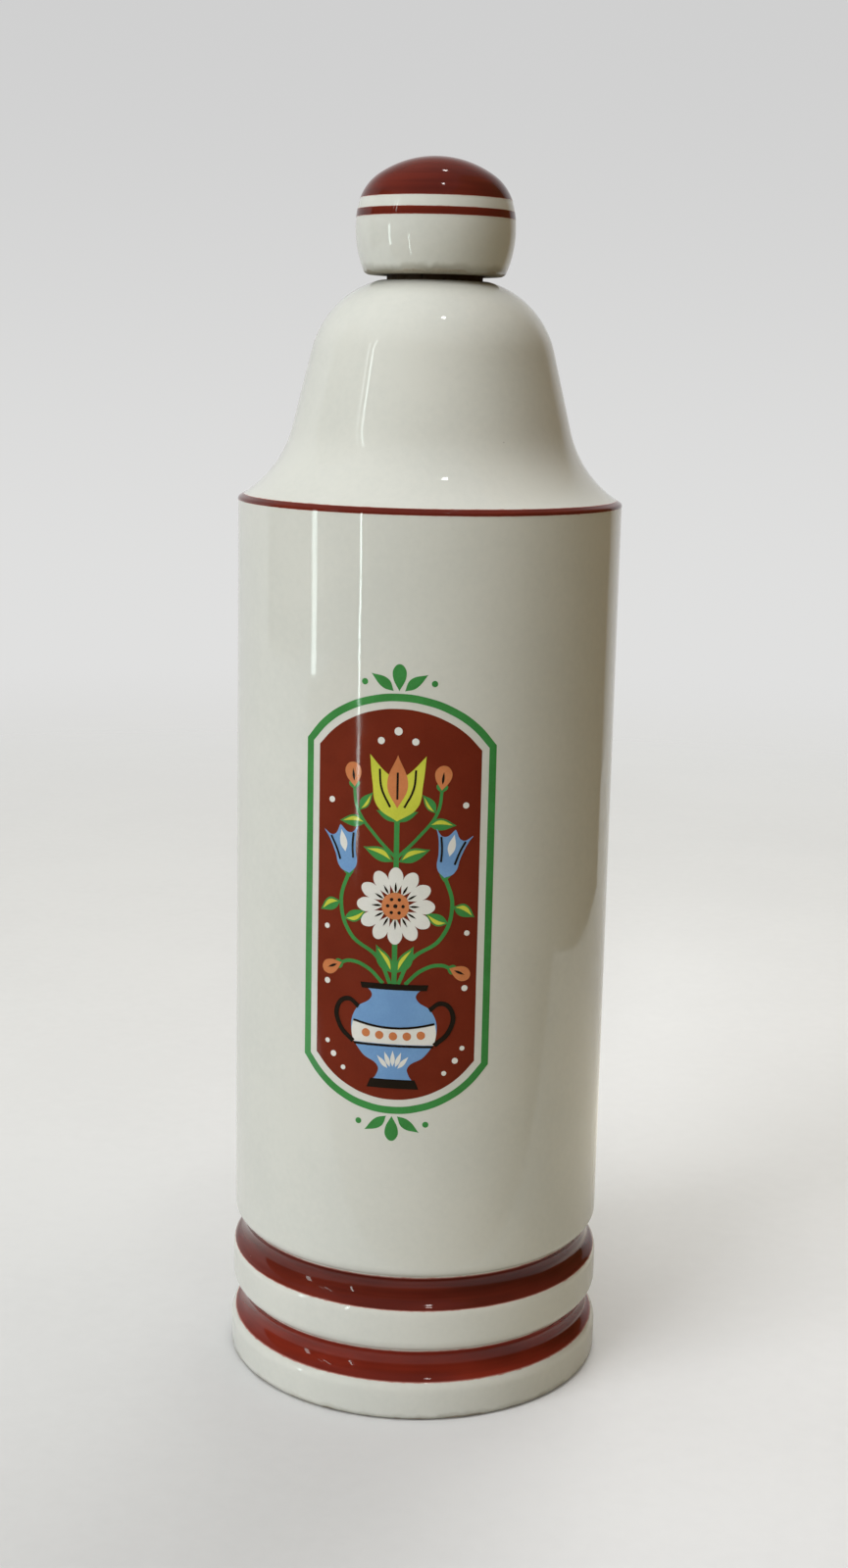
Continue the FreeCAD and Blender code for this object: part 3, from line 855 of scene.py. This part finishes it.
def stroke(points, width):
    """A stroke of even width through given points."""
    last = len(points) - 1
    sides = {1: [], -1: []}
    for index, point in enumerate(points):
        before = points[max(index - 1, 0)]
        after = points[min(index + 1, last)]
        angle = math.degrees(math.atan2(after[1] - before[1], after[0] - before[0]))
        knot = corner if index in (0, last) else bend
        for side in sides:
            sides[side].append(knot(*along(point, angle, 0, side * width / 2)))
    return sides[1] + sides[-1][::-1]


def tulip_cup(base, angle, length, width):
    half = [corner(0, 0), bend(0.22, 0.72), bend(0.58, 0.9), corner(1, 1), bend(0.74, 0.42)]
    return shaped(base, angle, length, width, both_sides(half, corner(0.62, 0)))


def tulip_heart(base, angle, length, width):
    return shaped(base, angle, length, width, both_sides([corner(0.2, 0), bend(0.55, 0.46)], corner(1.02, 0)))


def bell_cup(base, angle, length, width):
    half = [corner(0, 0), bend(0.14, 0.45), bend(0.5, 0.6), bend(0.8, 0.78), corner(1, 1), bend(0.86, 0.5)]
    return shaped(base, angle, length, width, both_sides(half, corner(1.06, 0)))


def panel(inset):
    """The arched panel, drawn in by an inset from its outer edge."""
    half, curve = PANEL_HALF - inset, PANEL_ARCH - inset
    start = math.degrees(math.acos(half / curve))
    steps = 8
    angles = [start + (180 - 2 * start) * step / steps for step in range(steps + 1)]
    arch = [bend(*along((0, PANEL_APEX - PANEL_ARCH), angle, curve)) for angle in angles]
    arch[0], arch[-1] = corner(*arch[0][:2]), corner(*arch[-1][:2])
    return arch + [(-x, -z, kind) for x, z, kind in arch]


screens = {ink: [] for ink in INKS}


def draw(ink, *outlines):
    """A flat filled shape on an ink's screen; a second outline is a hole in it."""
    shape = started(ink + "_shape", bpy.ops.curve.primitive_bezier_circle_add, radius=MM)
    shape.data.dimensions = "2D"
    shape.data.fill_mode = "BOTH"
    shape.data.resolution_u = 8
    for index, outline in enumerate(outlines):
        spline = shape.data.splines[0] if index == 0 else shape.data.splines.new("BEZIER")
        spline.use_cyclic_u = True
        spline.bezier_points.add(len(outline) - len(spline.bezier_points))
        for knot, (x, z, kind) in zip(spline.bezier_points, outline):
            knot.handle_left_type = kind
            knot.handle_right_type = kind
            knot.co = (x * MM, z * MM, 0)
    screens[ink].append(shape)


def draw_pair(ink, outline):
    draw(ink, outline)
    draw(ink, mirrored(outline))


def draw_panel():
    draw("field", panel(BORDER + BORDER_GAP))
    draw("green", panel(0), panel(BORDER))
    for up in (1, -1):
        foot = up * (PANEL_APEX + 0.5)
        draw("green", petal((0, foot), up * 90, 5.3, 2.9))
        draw_pair("green", leaf((1.1, foot), up * 33, 5.6, 2.0, 0.35 * up))
        draw_pair("green", dot((6.9, foot + up * 1.6), 0.62))


def draw_urn():
    draw("blue", both_halves([
        corner(4.1, -36), bend(3.2, -34.6), bend(3.0, -33.2), bend(6.4, -30.6), bend(8.7, -26),
        bend(7.6, -21.2), bend(4.7, -18.9), bend(4.5, -17.9), corner(6.4, -16.2),
    ]))
    draw("white", both_halves([corner(8.2, -28.3), bend(8.66, -26.2), corner(8.4, -23.9), bend(4.2, -24.7)]))
    draw("black", both_halves([corner(5.3, -37.6), corner(4.5, -35.7)]))
    draw("black", both_halves([corner(6.6, -16.9), corner(6.9, -15.7)]))
    draw("black", stroke([(-8.1, -28.6), (0, -28.6), (8.1, -28.6)], 0.45))
    draw("black", stroke([(-8.3, -23.8), (-4.2, -24.6), (0, -24.9), (4.2, -24.6), (8.3, -23.8)], 0.45))
    draw_pair("black", stroke([(7.2, -20.9), (9.6, -19.5), (11.8, -21.4), (11.2, -25.4), (8.3, -28.3)], 0.95))
    for x in (-5.6, -2.8, 0, 2.8, 5.6):
        draw("apricot", dot((x, -26.6 + 0.012 * x * x), 0.85))
    for fan in (-40, -20, 0, 20, 40):
        draw("white", leaf(along((0, -34.6), 90 + fan, 1.6), 90 + fan, 3.4, 0.9))


def draw_stems_and_leaves():
    draw("green", stroke([(0, -15.7), (0, -10), (0, 4), (0, 18)], 1.05))
    draw_pair("green", stroke([(0.8, -15.7), (3.4, -10.4), (9.2, -6.0), (11.3, 0.8), (9.7, 6.6)], 0.8))
    draw_pair("green", stroke([(2.2, -15.7), (5.6, -12.6), (9.4, -11.6), (11.4, -12.4)], 0.75))
    draw_pair("green", stroke([(0.3, 10.4), (4.2, 14.4), (8.0, 19.6), (8.8, 24.4)], 0.65))
    for base, angle, length, width, bow in (
        ((0.4, -13.4), 62, 6.6, 2.8, -0.25),
        ((11.5, 0.5), -32, 5.0, 2.6, 0.3),
        ((10.6, -3.0), 152, 5.2, 2.4, 0.3),
        ((0.5, 9.4), 20, 6.8, 2.7, 0.3),
        ((6.2, 17.0), -4, 5.6, 2.4, 0.3),
        ((7.6, 19.4), 128, 4.6, 2.0, -0.2),
    ):
        draw_pair("green", leaf(base, angle, length, width, bow))
        draw_pair("lime", lit_half(base, angle, length, width, bow))


def draw_daisy():
    middle = (0, 0.4)
    for angle in range(0, 360, 30):
        draw("white", petal(along(middle, angle, 2.2), angle, 5.7, 3.1))
        draw("black", leaf(along(middle, angle, 2.7), angle, 2.2, 0.42))
    draw("apricot", dot(middle, 2.75))
    draw("black", dot(middle, 0.42))
    for angle in range(0, 360, 60):
        draw("black", dot(along(middle, angle, 1.55), 0.34))


def draw_tulip():
    foot = (0, 17.6)
    draw_pair("green", leaf((0.2, 17.4), 24, 4.6, 1.7, 0.5))
    draw("lime", tulip_cup(foot, 90, 13.2, 11.2))
    draw("apricot", tulip_heart(foot, 90, 13.0, 9.0))
    draw("black", stroke([(0, 22.0), (0, 24.4), (0, 27.4)], 0.42))
    draw_pair("black", stroke([(1.4, 20.4), (3.2, 24.2), (3.6, 28.0)], 0.42))


def draw_bellflowers():
    foot, angle = (9.6, 6.4), 78
    ribs = ((3.0, 1.4), (5.6, 1.8), (8.0, 2.5))
    draw_pair("green", petal(along(foot, angle, -0.8), angle, 3.0, 2.6))
    draw_pair("blue", bell_cup(foot, angle, 9.4, 7.6))
    draw_pair("white", leaf(along(foot, angle, 4.4), angle, 4.6, 1.5))
    for side in (1, -1):
        draw_pair("black", stroke([along(foot, angle, ahead, side * aside) for ahead, aside in ribs], 0.4))


def draw_buds():
    for foot, angle, length, width in (((11.0, -12.2), -24, 4.6, 3.2), ((8.7, 24.0), 84, 5.0, 3.6)):
        draw_pair("apricot", petal(foot, angle, length, width))
        draw_pair("black", leaf(along(foot, angle, 0.24 * length), angle, 0.52 * length, 0.5))
        draw_pair("green", petal(along(foot, angle, -0.5), angle, 2.0, 0.68 * width))


def draw_ground_dots():
    draw("white", dot((0, 35.6), 0.8))
    for x, z, radius in (
        (3.4, 33.6, 0.7), (13.6, 21.0, 0.62), (14.4, -5.0, 0.55), (14.2, -16.4, 0.62),
        (14.0, -29.0, 0.5), (12.6, -31.6, 0.62), (10.4, -34.2, 0.5),
    ):
        draw_pair("white", dot((x, z), radius))


def printed_layer(ink, level):
    """One screen made a thin film, cut into columns and wrapped round the body at its level."""
    select_only(*screens[ink])
    bpy.ops.object.convert(target="MESH")
    if len(screens[ink]) > 1:
        bpy.ops.object.join()
    layer = bpy.context.object
    layer.name = "print_" + ink
    layer.data.name = layer.name
    layer.rotation_euler = (math.radians(90), 0, 0)
    bpy.ops.object.transform_apply()
    bpy.ops.object.mode_set(mode="EDIT")
    columns = math.ceil(PANEL_HALF * MM / COLUMN)
    for column in range(-columns, columns + 1):
        bpy.ops.mesh.select_all(action="SELECT")
        bpy.ops.mesh.bisect(plane_co=(column * COLUMN, 0, 0), plane_no=(1, 0, 0))
    bpy.ops.mesh.select_all(action="SELECT")
    bpy.ops.mesh.remove_doubles(threshold=MERGE)
    bpy.ops.object.mode_set(mode="OBJECT")
    radius = BODY_RADIUS + level
    across = [vertex.co.x for vertex in layer.data.vertices]
    wrap = layer.modifiers.new("wrap", "SIMPLE_DEFORM")
    wrap.deform_method = "BEND"
    wrap.deform_axis = "Z"
    wrap.angle = (max(across) - min(across)) / radius
    film = layer.modifiers.new("film", "SOLIDIFY")
    film.thickness = INK_FILM
    film.offset = -1
    apply_modifiers(layer)
    layer.location = (0, -radius, PRINT_CENTRE)
    bpy.ops.object.transform_apply()
    bpy.ops.object.shade_smooth_by_angle(angle=SMOOTH_ANGLE)
    return layer


def front_print():
    """The panel, printed ink over ink."""
    draw_panel()
    draw_urn()
    draw_stems_and_leaves()
    draw_daisy()
    draw_tulip()
    draw_bellflowers()
    draw_buds()
    draw_ground_dots()
    for order, (ink, tones) in enumerate(INKS.items(), start=1):
        layer = printed_layer(ink, order * INK_STEP)
        nodes = ["front_transfer"] if ink == "field" else []
        finish_piece(layer, printed_ink(ink + "_ink", tones), "decanter", "fired_enamel", *nodes)


bottle = porcelain_bottle()
knob = porcelain_knob()
tapered_cork()
glue_bed()
painted_rings(bottle, knob)
front_print()


# Floor, light and camera: azimuths and tilts in degrees

CAMERA_SIDE = 7.4
CAMERA_DISTANCE = 443.7 * MM
CAMERA_HEIGHT = 218.1 * MM
CAMERA_DOWN = 11.592
CAMERA_ROLL = 1.219
IMAGE_HEIGHT = 1600
FOCAL_PIXELS = 2149
SENSOR = 36.0

DAYLIGHT = (0.965, 0.975, 1.0)
EVENING = (1.0, 0.985, 0.94)
SKY = (0.84, 1.0, 0.96)
BULB = (1.0, 0.98, 0.95)
LAMP_AIM = Vector((0, 0, 0.12))
BULB_SIZE = 0.075
BULB_REACH = 1.7
BELL_HEIGHT = 0.23

WALL_LOW = (0.745, 0.745, 0.740, 1)
WALL_HIGH = (0.630, 0.630, 0.630, 1)
DUSK = (0.20, 0.195, 0.185, 1)
AMBIENT = (1.0, 0.94, 0.45, 1)
AMBIENT_STRENGTH = 0.11

PAPER_RADIUS = 2.4
# Paper: darker in front as painted shade, paler towards the back as painted light
PAPER_SHADED_NEAR = ((0.655, 0.66, 0.668, 1), (0.68, 0.685, 0.693, 1))
PAPER_LIT_FAR = ((0.805, 0.81, 0.818, 1), (0.83, 0.835, 0.843, 1))
PAPER_THROWN = (0.68, 0.655, 0.56, 1)
# Warm colour of the paper's painted glow as the glaze mirrors it
PAPER_MIRRORED_GLOW = (1.0, 0.92, 0.7, 1)
WHITE = (1, 1, 1, 1)
CARD = ((0.17, 0.094, 0.030, 1), (0.20, 0.118, 0.040, 1))


def around(azimuth, distance, height):
    """A place round the decanter: azimuth in degrees to the right of the camera's side."""
    turn = math.radians(CAMERA_SIDE + azimuth)
    return Vector((distance * math.sin(turn), -distance * math.cos(turn), height))


def photo_camera():
    bpy.ops.object.camera_add()
    camera = bpy.context.object
    camera.name = "photo_camera"
    camera.data.sensor_width = SENSOR
    camera.data.lens = FOCAL_PIXELS * SENSOR / IMAGE_HEIGHT
    camera.data.clip_start = 10 * MM
    camera.matrix_world = (
        Matrix.Translation(around(0, CAMERA_DISTANCE, CAMERA_HEIGHT))
        @ Matrix.Rotation(math.radians(CAMERA_SIDE), 4, "Z")
        @ Matrix.Rotation(math.radians(90 - CAMERA_DOWN), 4, "X")
        @ Matrix.Rotation(math.radians(CAMERA_ROLL), 4, "Z")
    )
    bpy.context.scene.camera = camera


def soft_lamp(name, place, size, power, colour, aim=LAMP_AIM, in_glaze=True, lights=True):
    """A soft rectangular lamp that the camera doesn't see: it shows in a glaze, or lights, or both."""
    bpy.ops.object.light_add(type="AREA", location=place)
    lamp = bpy.context.object
    lamp.name = name
    lamp.data.shape = "RECTANGLE"
    lamp.data.size, lamp.data.size_y = size
    lamp.data.energy = power
    lamp.data.color = colour
    lamp.rotation_euler = (aim - place).to_track_quat("-Z", "Y").to_euler()
    lamp.visible_camera = False
    lamp.visible_glossy = in_glaze
    lamp.visible_diffuse = lights


def studio_light():
    """Broad lamps that only light, narrow gaps of window that only the glaze shows, and two ceiling lamps."""
    for name, place, size, power, colour in (
        ("curtained_window", around(-46, 1.25, 0.90), (0.85, 1.2), 15.4, DAYLIGHT),
        ("white_ceiling", around(-60, 0.15, 1.7), (1.1, 1.1), 12.4, DAYLIGHT),
        ("rear_window", around(158, 1.3, 1.0), (1.3, 1.2), 7.6, EVENING),
        ("base_lamp", Vector((0, 0, -0.09)), (0.1, 0.1), 0.05, DAYLIGHT),
    ):
        soft_lamp(name, place, size, power, colour, in_glaze=False)
    for name, azimuth, distance, width, low, high, power in (
        ("window_gap", -69, 0.85, 0.050, 0.03, 0.30, 0.28),
        ("upper_gap", -60, 0.85, 0.022, 0.48, 0.76, 0.14),
        ("upper_pane", -65, 0.85, 0.018, 0.52, 0.70, 0.04),
        ("second_gap", -38, 0.42, 0.007, 0.03, 0.20, 0.052),
    ):
        place = around(azimuth, distance, (low + high) / 2)
        level = Vector((0, 0, place.z))
        soft_lamp(name, place, (width, high - low), power, SKY, aim=level, lights=False)
    for name, azimuth, rise, power in (
        ("front_ceiling_lamp", 20, 69, 0.75),
        ("rear_ceiling_lamp", 168, 66, 0.4),
    ):
        up = math.radians(rise)
        place = around(azimuth, BULB_REACH * math.cos(up), BELL_HEIGHT + BULB_REACH * math.sin(up))
        soft_lamp(name, place, (BULB_SIZE, BULB_SIZE), power, BULB)


def ray_kinds(tree):
    """The kinds of ray, and a mask of those that a glaze mirrors or lets through."""
    rays = add(tree, "ShaderNodeLightPath").outputs
    return rays, sums(tree, "MAXIMUM", rays["Is Glossy Ray"], rays["Is Transmission Ray"])


def pale_world():
    """A pale wall that darkens upwards, dusk high in the room for the glaze alone, and a faint warm light."""
    world = bpy.data.worlds.new("pale_room")
    bpy.context.scene.world = world
    world.use_nodes = True
    tree = world.node_tree
    shown = tree.nodes["Background"]
    rays, in_glaze = ray_kinds(tree)
    rise = split(tree, add(tree, "ShaderNodeTexCoord").outputs["Generated"])["Z"]
    wall = mixed(tree, ramped(tree, rise, -0.14, 0.17), WALL_LOW, WALL_HIGH)
    dusk = times(tree, ramped(tree, rise, 0.2, 0.75), in_glaze)
    feed(tree, shown.inputs, {"Color": mixed(tree, dusk, wall, DUSK)})
    ambient = add(tree, "ShaderNodeBackground", {"Color": AMBIENT, "Strength": AMBIENT_STRENGTH})
    seen = sums(tree, "MAXIMUM", rays["Is Camera Ray"], in_glaze)
    either = add(tree, "ShaderNodeMixShader", {0: seen, 1: ambient.outputs[0], 2: shown.outputs[0]})
    feed(tree, tree.nodes["World Output"].inputs, {"Surface": either.outputs[0]})


def paper_tone(tree, aside, depth, rays):
    """Painted shade and light: darker in front and paler towards the back; on the right, the light that it
    throws on the porcelain is warmer.
    """
    shaded_near = mottled(tree, PAPER_SHADED_NEAR, patches=9.0, grain=220.0)["Colour"]
    lit_far = mottled(tree, PAPER_LIT_FAR, patches=9.0, grain=220.0)["Colour"]
    tone = mixed(tree, ramped(tree, depth, -0.12, 0.18), shaded_near, lit_far)
    thrown = times(tree, ramped(tree, aside, 0.0, 0.06), rays["Is Diffuse Ray"])
    return mixed(tree, thrown, tone, PAPER_THROWN)


def paper_glow(tree, aside, depth, distance, rays, in_glaze):
    """Painted light on the right: the paper glows to lift the decanter's shadow, faintly to the camera and
    stronger as a painted reflection in the glaze on one stretch.
    """
    beside = times(tree, ramped(tree, aside, -0.01, 0.055), falling(tree, distance, 0.1, 0.6))
    stretch = times(tree, ramped(tree, depth, -0.04, 0.06), falling(tree, depth, 0.1, 0.3))
    clear = times(tree, stretch, ramped(tree, distance, 0.08, 0.17, 0.0, 0.45))
    glow = plus(tree, times(tree, rays["Is Camera Ray"], 0.13), times(tree, in_glaze, clear))
    return times(tree, beside, glow)


def paper_cover(tree, aside, distance):
    """Where there is paper: it fades into the room, and there is none under the decanter or from below."""
    faded = times(tree, falling(tree, distance, 0.25, 1.05), falling(tree, aside, 0.30, 0.44))
    cut = times(tree, faded, ramped(tree, distance, FOOT_FLAT - 0.3 * MM, FOOT_FLAT - 0.2 * MM))
    below = add(tree, "ShaderNodeNewGeometry").outputs["Backfacing"]
    return sums(tree, "SUBTRACT", cut, below)


def paper_floor():
    """A round sheet of pale paper that fades out into the room, cut out where the decanter stands on it."""
    outline = {"vertices": 128, "radius": PAPER_RADIUS, "fill_type": "NGON"}
    floor = started("paper_floor", bpy.ops.mesh.primitive_circle_add, **outline)
    material, tree, shader = new_material("pale_paper")
    place = object_place(tree)
    aside, depth, _ = split(tree, place)
    distance = add(tree, "ShaderNodeVectorMath", {0: place}, operation="LENGTH").outputs["Value"]
    rays, in_glaze = ray_kinds(tree)
    feed(tree, shader.inputs, {
        "Base Color": paper_tone(tree, aside, depth, rays),
        # Painted light: a glow of the paper, white to the camera and warm in the glaze
        "Emission Strength": paper_glow(tree, aside, depth, distance, rays, in_glaze),
        "Emission Color": mixed(tree, in_glaze, WHITE, PAPER_MIRRORED_GLOW),
        "Alpha": paper_cover(tree, aside, distance),
        "Roughness": 0.6,
        "Specular IOR Level": 0.2,
    })
    floor.data.materials.append(material)


def dark_card(name, place, size, turn, glaze_only=True, end_cover=1.0):
    """A dark brown card out of the camera's sight, like the dim side of a room; its one end may fade."""
    card = started(name, bpy.ops.mesh.primitive_plane_add, size=1)
    card.scale = (*size, 1)
    card.location = place
    card.rotation_euler = turn
    material, tree, shader = new_material(name)
    aside = split(tree, object_place(tree))["X"]
    feed(tree, shader.inputs, {
        "Base Color": mottled(tree, CARD, patches=6.0, grain=90.0)["Colour"],
        "Alpha": ramped(tree, aside, 0.15, 0.5, 1.0, end_cover),
        "Roughness": 0.9,
    })
    card.data.materials.append(material)
    card.visible_camera = False
    if glaze_only:
        card.visible_diffuse = False
        card.visible_shadow = False


def upright(azimuth):
    """The turn of a card that stands on its edge, square to an azimuth."""
    return (math.radians(90), 0, math.radians(CAMERA_SIDE + azimuth))


def dim_room():
    """The dim room that the glaze mirrors on the camera's side, and the card that shades the right."""
    shade, side, front = 88, 97, 10
    dark_card("shading_card", around(shade, 0.45, 0.58), size=(1.5, 1.15), turn=upright(shade),
              glaze_only=False, end_cover=0.0)
    dark_card("room_corner", around(side, 0.35, 0.605), size=(0.49, 1.2), turn=upright(side + 180),
              end_cover=0.0)
    for number, azimuth in enumerate((-86, -44, -2, 40), start=1):
        dark_card(f"room_wall_{number}", around(azimuth, 1.1, 0.55), size=(0.9, 1.1), turn=upright(azimuth))
    lying = (0, 0, math.radians(CAMERA_SIDE + front))
    dark_card("table_top", around(front, 0.70, 2 * MM), size=(2.0, 1.2), turn=lying)


photo_camera()
studio_light()
pale_world()
paper_floor()
dim_room()
bpy.context.scene.view_settings.view_transform = "Standard"
